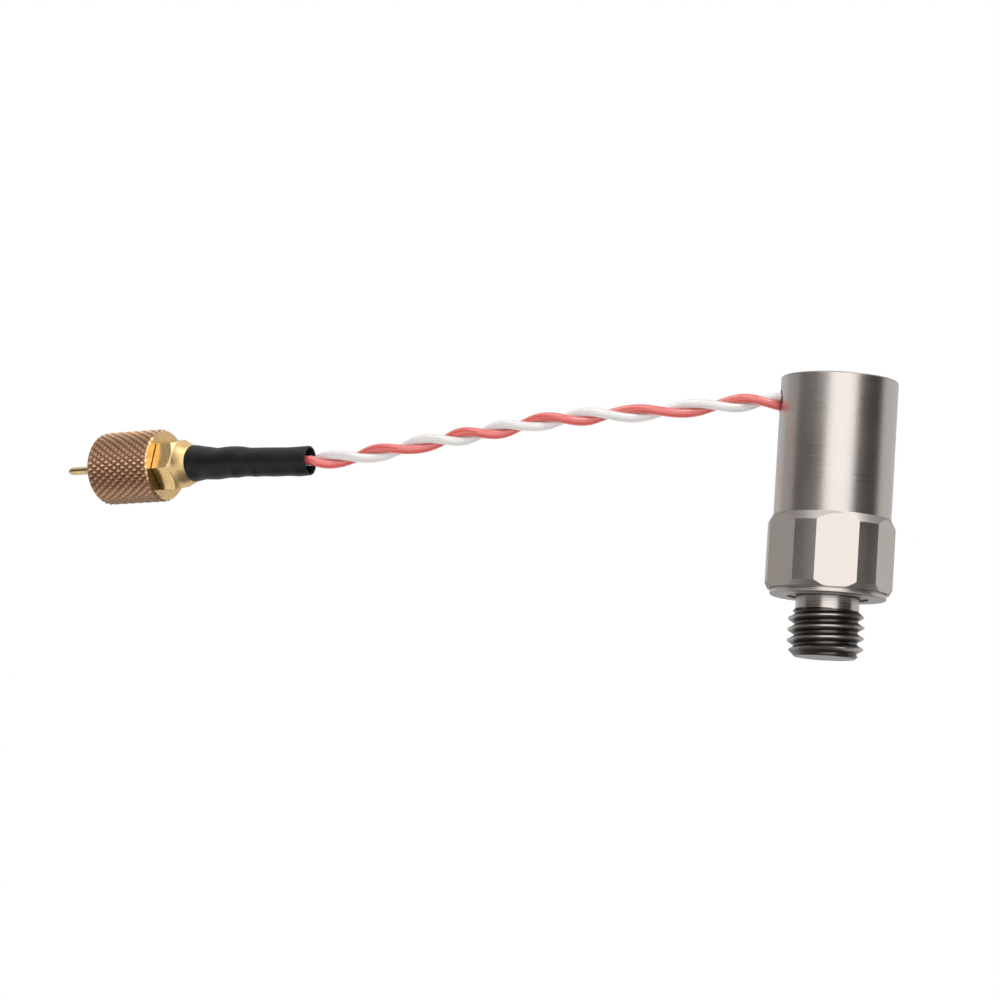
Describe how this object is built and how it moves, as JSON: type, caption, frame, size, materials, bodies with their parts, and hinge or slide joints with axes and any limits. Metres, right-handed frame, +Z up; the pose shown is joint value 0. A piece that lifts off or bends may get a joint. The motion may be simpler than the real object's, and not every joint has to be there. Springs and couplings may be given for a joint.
{
  "type": "vibration sensor",
  "caption": "Stud-mounted vibration sensor: round steel case on a hexagon base with a threaded stud, short twisted wire pigtail and a miniature coaxial plug with a knurled nut.",
  "frame": {"origin": "centre of the seat face under the collar", "axes": "+Z up the sensor's axis away from the stud, wires leave the case towards -X"},
  "size_m": [0.0712, 0.0223, 0.0233],
  "materials": {
    "steel": "turned stainless steel",
    "black_bush": "matt potting",
    "ceramic": "fired ceramic",
    "inner_metal": "ground metal",
    "electrode_brass": "bare brass",
    "insulation": "moulded insulator",
    "board": "solder resist",
    "red_insulation": "satin wire insulation",
    "white_insulation": "satin wire insulation",
    "heat_shrink": "satin polyolefin",
    "gold": "gold plate",
    "insulator_white": "waxy white plastic",
    "bronze": "bronzed knurl"
  },
  "bodies": {
    "sensor": {"base": "steel", "case": "steel", "exit_bush": "black_bush", "isolation_disc": "ceramic", "lower_piezo_ring": "ceramic", "centre_electrode": "electrode_brass", "upper_piezo_ring": "ceramic", "seismic_mass": "inner_metal", "spring_washer": "inner_metal", "preload_nut": "inner_metal", "post_sleeve": "insulation", "board_carrier": "insulation", "amplifier_board": "board", "board_components": "board", "electrode_lead": "electrode_brass", "red_wire": "red_insulation", "white_wire": "white_insulation", "heat_shrink_sleeve": "heat_shrink", "plug_body": "gold", "plug_hex": "gold", "plug_insulator": "insulator_white", "centre_pin": "gold"},
    "coupling": {"coupling_nut": "bronze"}
  },
  "joints": [
    {"name": "coupling_nut_spin", "type": "hinge", "parent": "sensor", "child": "coupling", "pos_m": [-0.0568, 0.0114, 0.0087], "axis": [-0.8564, 0.5145, -0.0436], "continuous": true}
  ]
}
